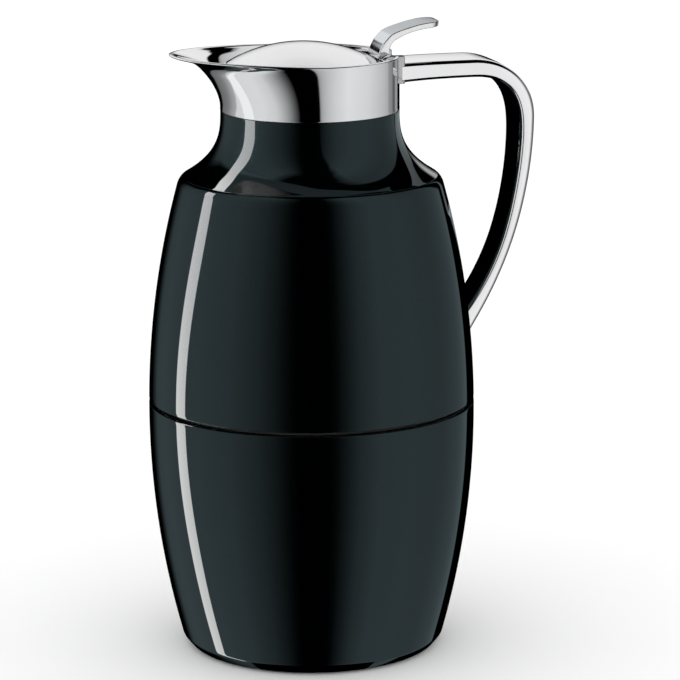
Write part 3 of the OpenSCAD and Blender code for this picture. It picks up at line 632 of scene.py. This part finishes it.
# ---------------------------------------------------------------- the thumb lever
# (distance back, height over the rim) along its upper face and its under face, from the tip down
LEVER_TOP = np.array([[55.9, 13.66], [51.9, 13.45], [46.6, 12.65], [42.2, 11.55], [37.8, 10.25], [35.4, 9.35],
                      [33.6, 8.3], [32.0, 6.66], [31.0, 5.52], [30.5, 4.86], [30.05, 4.05], [29.0, 2.1],
                      [28.4, 0.6], [28.15, -0.5], [28.1, -1.44]])
LEVER_LOW = np.array([[55.9, 11.2], [51.9, 11.0], [46.6, 10.2], [42.2, 9.1], [37.8, 7.2], [35.1, 5.6], [33.8, 3.8],
                      [33.3, 1.8], [33.5, 0.4], [34.4, -0.7], [34.8, -1.44]])

lv_out = open_curve(LEVER_TOP, 8) + [0, RIM_Z]
lv_in = open_curve(LEVER_LOW, 60) + [0, RIM_Z]
lv_facing = facing(lv_out, lv_in)
lv_facing[-1] = lv_in[-1]
from_tip = np.maximum(56.1 - lv_out[:, 0], 0.0)
lv_half = 8.8 - 5.0 + np.sqrt(np.maximum(25 - (5 - np.minimum(from_tip + 0.15, 5)) ** 2, 0.01))
plate_xyz, plate_worn, r, c = strap(lv_out, lv_facing, lv_half, 0.5, 0.04, 0.06)
plate_grid = (plate_xyz[::-1], plate_worn[::-1], r, c)  # drawn from the tip back, so turned round to face out
sleeve = softened([[1.56, 3.25], [3.0, 3.25], [3.0, 8.75], [1.56, 8.75]], [0.1, 0.3, 0.3, 0.1])
sleeve_2 = sleeve * [1, -1]
tongue = softened([[9.5, PIN_Z - 2.45], [30.9, PIN_Z - 2.45], [30.9, PIN_Z - 0.65], [9.5, PIN_Z - 0.65]],
                  [0.5, 0, 0, 0.5])
put("lever_plate", [plate_grid, turned_across(sleeve, (PIN_X, PIN_Z)),
                    turned_across(sleeve_2[::-1], (PIN_X, PIN_Z)), extruded_across(tongue, 6.95, 0.3)],
    "lid", SATIN, ["thumb_lever"])

# ---------------------------------------------------------------- finishes of the CAD nodes that stay
STAYS = {
    "base_screws": STEEL, "lower_thread_ring": BLACK_PLASTIC, "upper_thread_ring": BLACK_PLASTIC,
    "collar_insert": BLACK_PLASTIC, "collar_lock_ring": STEEL, "collar_screws": STEEL,
    "neck_gasket": BLACK_RUBBER,
    "inner_bottle": SILVER, "outer_bottle": SILVER, "flask_spacers": SPACER, "flask_cushion": BLACK_RUBBER,
    "handle_top_screws": STEEL, "foot_saddle": BLACK_PLASTIC, "foot_nut": STEEL, "lid_inner": BLACK_PLASTIC,
    "lid_foam": PALE_FOAM, "lid_seal": SEAL_RUBBER, "lid_screws": STEEL, "lid_spring": SPRING,
}
for node, finish in STAYS.items():
    mesh = frame["nodes"][node].data
    mesh.materials.clear()
    mesh.materials.append(finish)

# ---------------------------------------------------------------- studio
TURN = np.radians(-13.5)
BALL_MIDDLE, RIBBON_FAR = 0.17, 2.3
CARD_COLUMNS, CARD_ROWS, CARD_HIGHEST, SOFT_EDGE = 160, 190, 84, 8
PURE, WHITE, COOL, EDGE_BLUE = (1, 1, 1), (0.98, 1.0, 1.0), (0.72, 1.0, 1.07), (0.85, 1.0, 1.04)


def plain(name, colour, glow=0.0, glow_from=None):
    """A stage material: a soft matt colour with a faint mottle, or a light card whose glow is
    held in its mesh."""
    m, nt, s, xyz = new_finish(name)
    if glow_from:
        light = nt.nodes.new("ShaderNodeEmission")
        light.inputs["Color"].default_value = (*colour, 1)
        at = nt.nodes.new("ShaderNodeAttribute")
        at.attribute_name = glow_from
        nt.links.new(both(nt, at.outputs["Fac"], glow, "MULTIPLY"), light.inputs["Strength"])
        pass_on, join = nt.nodes.new("ShaderNodeBsdfTransparent"), nt.nodes.new("ShaderNodeAddShader")
        nt.links.new(light.outputs["Emission"], join.inputs[0])
        nt.links.new(pass_on.outputs["BSDF"], join.inputs[1])
        nt.links.new(join.outputs["Shader"], nt.nodes["Material Output"].inputs["Surface"])
    else:
        c = np.array(colour)
        tones = [(0.3, tuple(c * 0.99)), (0.7, tuple(c))]
        nt.links.new(blend_colours(nt, noise(nt, xyz, 3, 2), tones), s.inputs["Base Color"])
        s.inputs["Roughness"].default_value = 0.9
        s.inputs["Specular IOR Level"].default_value = 0.1
    return m


def sky_patch(name, a, e, g, colour, strength, far):
    """A sheet on a ball round the object, from grids of the angle round (counted from the
    camera's side), the angle up and the glow. Each lies a little outside those made before it.
    Cameras don't see it, glossy surfaces do."""
    far += 0.01 * sum(o.name.startswith(("left", "right", "strip", "back")) for o in bpy.data.objects)
    a, e = np.radians(a) + TURN, np.radians(e)
    xyz = np.stack([np.sin(a) * np.cos(e), -np.cos(a) * np.cos(e), np.sin(e)], -1) * far
    xyz[..., 2] += BALL_MIDDLE
    mesh = bpy.data.meshes.new(name)
    mesh.from_pydata(xyz.reshape(-1, 3).tolist(), [], lattice(*a.shape, False, False).tolist())
    mesh.attributes.new("glow", "FLOAT", "POINT").data.foreach_set("value", g.astype(np.float32).ravel())
    mesh.materials.append(plain(name, colour, glow=strength, glow_from="glow"))
    o = bpy.data.objects.new(name, mesh)
    bpy.context.scene.collection.objects.link(o)
    o.visible_camera = o.visible_diffuse = o.visible_shadow = False
    return o


def card(name, across, colour, strength, top=None, rise=None, far=2.4, down=-64):
    """A broad light card: its glow follows the course across over the angle round, times either
    the course rise over the angle up, or an edge a few degrees soft below a top that may slope."""
    across = np.array(across, float)
    a, e = np.meshgrid(np.linspace(across[0, 0], across[-1, 0], CARD_COLUMNS),
                       np.linspace(down, CARD_HIGHEST, CARD_ROWS))
    glow = np.interp(a, *across.T)
    if rise:
        glow = glow * np.interp(e, *np.array(rise, float).T)
    else:
        glow = glow * np.clip((np.interp(a, *np.array(top, float).T) - e) / SOFT_EDGE, 0, 1)
    return sky_patch(name, a, e, glow, colour, strength, far)


def ribbon(name, one, other, strength, colour=PURE, fade=1.0):
    """A light strip between two edges, smooth curves through (angle up, angle round) places: between
    them its directions lie on chords, its borders are a little soft and its glow goes over to fade."""
    def directions(edge):
        e, a = np.radians(np.array(edge, float)).T
        return open_curve(np.stack([np.sin(a) * np.cos(e), -np.cos(a) * np.cos(e), np.sin(e)], -1), 10)
    k = np.array([0, 0.06, 0.5, 0.94, 1])
    v = directions(one)[:, None] * (1 - k[:, None]) + directions(other)[:, None] * k[:, None]
    v /= np.linalg.norm(v, axis=-1, keepdims=True)
    a, e = np.degrees(np.arctan2(v[..., 0], -v[..., 1])), np.degrees(np.arcsin(v[..., 2]))
    glow = np.array([0, 1, (1 + fade) / 2, fade, 0])
    return sky_patch(name, a, e, np.broadcast_to(glow, a.shape), colour, strength, RIBBON_FAR)


GROUPS = {
    "body": ["lower_body", "upper_body"], "neck": ["neck_and_shoulder"],
    "collar": ["collar_with_lip", "pouring_bowl"], "lid": ["lid_dome", "lid_inner"],
    "arm": ["strap_handle"], "lever": ["lever_plate"], "hinge": ["hinge_seat", "hinge_pin"],
}
named = {n for g in GROUPS.values() for n in g}
GROUPS["rest"] = [o.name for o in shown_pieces() if o.name not in named]


def show_in(cards, *groups):
    """Lets light cards show in the gloss of some pieces only, as a studio's flags do."""
    held = bpy.data.collections.new("seen_in_" + "_".join(groups))
    for g in groups:
        for n in GROUPS[g]:
            held.objects.link(bpy.data.objects[n])
    for o in cards:
        o.light_linking.receiver_collection = held


# Courses are (angle, glow) pairs. Tops are (angle round, angle up). Ribbon edges are (angle up,
# angle round). All angles are in degrees, with the angle round counted from the camera's side.
LEFT_COOL = [[-152, 0], [-146, 0.05], [-139, 0.2], [-125, 0.36], [-87, 0.62], [-60, 0.58], [-37, 0.35],
             [-22, 0.11], [-14, 0.02], [-10, 0]]
RIGHT_COOL = [[13, 0], [17, 0.03], [24, 0.15], [35, 0.44], [50, 0.65], [75, 0.63], [105, 0.43], [125, 0.36]]
LEFT_COOL_TOP = [[-152, 20], [-132, 30], [-110, 56], [-90, 76], [-10, 76]]
LEFT_SOFT = [[-146, 0.2], [-100, 0.6], [-50, 0.95], [-20, 0.7], [-8, 0.0]]
BACK_WIDE = [[100, 0.6], [125, 1], [235, 1], [260, 0.6]]

show_in([
    card("left_softbox_cool", LEFT_COOL, COOL, 1.0, top=LEFT_COOL_TOP),
    card("right_softbox_body", RIGHT_COOL + [[141, 0.36], [142.5, 0]], COOL, 1.0,
         top=[[13, 76], [70, 76], [100, 62], [128, 40], [136, 14], [143, 2]]),
    ribbon("strip_light_body",
           [[-60, -104.5], [-31, -106.5], [-13, -109.5], [7, -103], [14, -104], [22, -108], [30, -114],
            [36, -119]],
           [[-60, -93.5], [-31, -95.5], [-13, -98.5], [8, -91], [14, -92], [21, -95], [31, -101],
            [38, -107]], 7.2),
    ribbon("right_edge_strip_body",
           [[30, 147], [12, 148], [-3, 149], [-5, 155], [-8, 163], [-11, 177]],
           [[25, 152], [5, 152], [-5, 156], [-7, 165], [-11, 177], [-14, 185]], 0.3, EDGE_BLUE),
], "body")
show_in([
    card("left_softbox_neck", LEFT_COOL, COOL, 1.0, top=LEFT_COOL_TOP),
    card("right_softbox_neck",
         [[11.5, 0], [14, 0.12], [20, 0.28], [34, 0.52], [50, 0.65], [75, 0.63], [105, 0.43],
          [125, 0.37], [139, 0.36], [140, 0]], COOL, 1.0,
         top=[[11, -5], [12, 8], [16, 38], [24, 53], [35, 66], [60, 75], [99, 77], [114, 73], [120, 69],
              [123, 59], [124.5, 46], [126.5, 27], [134, 8], [139, -5], [140, -12]]),
    ribbon("strip_light_neck",
           [[-60, -91], [-35, -91], [-9, -91], [-3, -91], [6, -91], [18, -94], [29, -102], [37, -115],
            [41, -129], [41, -139], [41, -147], [39, -154]],
           [[-60, -74], [-35, -74], [-9, -74], [-4, -73.5], [6, -73], [22, -77], [35, -85], [44, -99],
            [48, -116], [49, -133], [47, -145], [45, -154]], 6.8),
    ribbon("overhead_sheet_neck",
           [[46, -106], [51, -103], [64, -92], [75, -90], [84, -106], [83, -202], [73, -225],
            [57, -222], [50, -222]],
           [[46, -145], [51, -145], [64, -148], [70, -165], [72, -180], [70, -200], [66, -208],
            [57, -215], [50, -216]], 0.3, COOL),
    ribbon("right_edge_strip_neck",
           [[-60, 141], [-35, 141], [-9, 141], [-3, 137.5], [4, 136], [11, 136], [18, 138], [25, 141],
            [34, 146], [40, 149], [46, 152]],
           [[-60, 178], [-35, 178], [-9, 178], [-6, 165], [-1, 161], [3, 158], [12, 153], [20, 150],
            [26, 151], [29, 154], [32, 157]], 0.62, EDGE_BLUE, fade=0.6),
    card("right_rim_sheet_neck", [[156, 0], [158, 0.6], [161, 1], [180, 1], [186, 0.8]], WHITE, 1.1,
         rise=[[2, 0], [7, 0.5], [9, 1], [13, 1], [16, 0]]),
], "neck")
show_in([
    card("left_softbox_collar",
         [[-152, 0], [-148, 0.16], [-137, 0.2], [-128, 0.25], [-120, 0.36], [-111, 0.47], [-108, 0.8],
          [-60, 0.83], [-42, 0.72], [-28, 0.4], [-18, 0.12], [-12, 0.0]], WHITE, 1.0,
         top=[[-152, 26], [-10, 44]], down=-78),
    card("right_softbox_collar",
         [[12.6, 0.0], [13.8, 0.36], [17, 0.5], [23, 0.62], [32, 0.74], [50, 0.9], [80, 0.8], [108, 0.6],
          [118, 0.5], [122, 0.33], [130, 0.28], [134, 0.12], [138, 0.12], [143, 0.36], [150, 0.36],
          [153, 0.0]], WHITE, 1.0,
         top=[[12, 50], [94, 50], [118, 44], [124, 30], [128, 14], [153, 10]], down=-78),
    ribbon("strip_light_collar",
           [[-70, -135], [-60, -128], [-52, -122], [-44, -115], [-35, -108], [-24, -100], [-12, -95],
            [0, -91], [20, -90]],
           [[-70, -112], [-60, -104], [-52, -97], [-46, -91], [-35, -85], [-24, -80], [-12, -76.5],
            [0, -74], [20, -74]], 0.24, WHITE),
    card("back_sheet_collar", [[149, 0], [154, 1], [235, 1], [260, 0.6]], PURE, 0.97, far=2.7,
         rise=[[8, 0], [11, 0.85], [18, 1], [38, 1], [50, 0]]),
], "collar")
show_in([
    card("left_softbox_arm", [[-76, 0.0], [-62, 0.5], [-46, 0.95], [-20, 0.75], [-8, 0.0]], PURE, 1.0,
         top=[[-76, 30], [-8, 32]], down=-42),
    card("right_softbox_arm",
         [[4, 0.3], [10, 0.7], [20, 0.93], [40, 1.05], [55, 0.85], [72, 0.3], [85, 0.2], [125, 0.2],
          [126, 0]], PURE, 1.0, top=[[4, 32], [126, 30]], down=-42),
    card("back_sheet_arm", [[125, 0.5], [140, 1], [188, 1], [194, 0]], PURE, 0.97, far=2.7,
         rise=[[2, 0], [6, 0.6], [10, 0.9], [13, 1], [30, 1], [36, 0.5], [40, 0]]),
], "arm")
show_in([
    card("left_softbox_lever", LEFT_SOFT, PURE, 1.0, top=[[-146, 30], [-8, 46]]),
    card("right_softbox_lever",
         [[4, 0.5], [12, 0.9], [27, 1.15], [50, 1.1], [80, 0.6], [105, 0.1], [110, 0]], PURE, 1.0,
         top=[[4, 46], [110, 40]]),
    card("back_sheet_lever",
         [[120, 0.3], [150, 0.5], [178, 0.6], [186, 0.66], [193, 0.74], [198, 0.95], [206, 0.98],
          [214, 0.9], [250, 0.6]], (0.97, 1.0, 1.02), 1.0, far=2.7,
         rise=[[-50, 0.5], [-10, 0.85], [4.3, 0.75], [4.9, 0], [9.0, 0], [9.8, 0.4], [11.2, 0.7],
               [13.5, 1], [45, 1], [52, 0.4], [56, 0]]),
], "lever")
show_in([
    card("left_softbox_hinge",
         [[-140, 0.0], [-100, 0.3], [-55, 0.4], [-36, 0.12], [-20, 0.1], [-8, 0.0]], PURE, 1.0,
         top=[[-140, 30], [-8, 40]]),
    card("right_softbox_hinge", [[4, 0.2], [12, 0.4], [27, 0.5], [50, 0.55], [70, 0.2], [85, 0]],
         PURE, 1.0, top=[[4, 30], [85, 26]]),
    card("back_sheet_hinge", [[125, 0.3], [160, 0.5], [200, 0.5], [240, 0.3]], PURE, 0.3, far=2.7,
         rise=[[6, 0], [9, 1], [17, 1], [22, 0.2], [40, 0.1], [60, 0.6], [80, 0.0]]),
], "hinge")
show_in([
    card("left_softbox_lid", LEFT_SOFT, PURE, 1.0, top=[[-146, 40], [-8, 60]]),
    card("right_softbox_lid", [[6, 0.0], [12, 0.8], [27, 0.93], [60, 1.0], [100, 0.8], [144, 0.2]],
         PURE, 1.0, top=[[6, 60], [144, 40]]),
    card("back_sheet_lid", BACK_WIDE, PURE, 0.97, far=2.7,
         rise=[[5, 0], [8, 0.5], [14, 0.85], [22, 1], [45, 1], [58, 0.9], [70, 0.55], [80, 0.12]]),
], "lid", "rest")

FLOOR_R, FLOOR_RINGS, FLOOR_SPOKES = 9, 40, 97
span = np.linspace(0, 1, FLOOR_RINGS)[:, None]
ring = np.linspace(0, 2 * np.pi, FLOOR_SPOKES)[None]
floor_xyz = np.stack([FLOOR_R * span * np.cos(ring), FLOOR_R * span * np.sin(ring), 0 * span * ring], -1)
floor_mesh = bpy.data.meshes.new("pale_floor")
floor_faces = lattice(FLOOR_RINGS, FLOOR_SPOKES, False, False)
floor_mesh.from_pydata(floor_xyz.reshape(-1, 3).tolist(), [], floor_faces.tolist())
floor_mesh.materials.append(plain("pale_floor", (0.95, 0.95, 0.95)))
floor = bpy.data.objects.new("pale_floor", floor_mesh)
bpy.context.scene.collection.objects.link(floor)
floor.visible_glossy = floor.visible_shadow = False

world = bpy.data.worlds.new("studio_air")
bpy.context.scene.world = world
world.use_nodes = True
world.node_tree.nodes["Background"].inputs["Color"].default_value = (1, 1, 1, 1)
world.node_tree.nodes["Background"].inputs["Strength"].default_value = 1.12
world.cycles_visibility.glossy = False

overhead_place = Vector((-0.5, -0.5, 2.2))
overhead = bpy.data.lights.new("overhead_box", "AREA")
overhead.size, overhead.energy = 2.0, 3
overhead_box = bpy.data.objects.new("overhead_box", overhead)
overhead_box.location = overhead_place
overhead_box.rotation_euler = (Vector((0, 0, 0.13)) - overhead_place).to_track_quat("-Z", "Y").to_euler()
overhead_box.visible_glossy = False
bpy.context.scene.collection.objects.link(overhead_box)

# ---------------------------------------------------------------- camera
CAMERA_AWAY, CAMERA_UP = 1.5, 0.474
cam_data = bpy.data.cameras.new("camera")
cam_data.lens, cam_data.sensor_width = 186.46, 36.0
cam_data.clip_start, cam_data.clip_end = 0.01, 50
camera = bpy.data.objects.new("camera", cam_data)
bpy.context.scene.collection.objects.link(camera)
phi, pitch, yaw, roll = np.radians([13.5, 12.73, 0.48, -0.22])
ahead = np.array([np.sin(phi), np.cos(phi), 0])
aside = np.array([np.cos(phi), -np.sin(phi), 0])
upward = np.array([0, 0, 1.0])
look = np.cos(pitch) * (np.cos(yaw) * ahead + np.sin(yaw) * aside) - np.sin(pitch) * upward
right = np.cross(look, upward)
right /= np.linalg.norm(right)
top = np.cross(right, look)
x_axis = np.cos(roll) * right + np.sin(roll) * top
y_axis = -np.sin(roll) * right + np.cos(roll) * top
place = np.array([-CAMERA_AWAY * np.sin(phi), -CAMERA_AWAY * np.cos(phi), CAMERA_UP])
turn_and_place = np.column_stack([x_axis, y_axis, -look, place])
camera.matrix_world = Matrix([[*row] for row in np.vstack([turn_and_place, [0, 0, 0, 1]])])
bpy.context.scene.camera = camera
bpy.context.scene.view_settings.view_transform = "Standard"
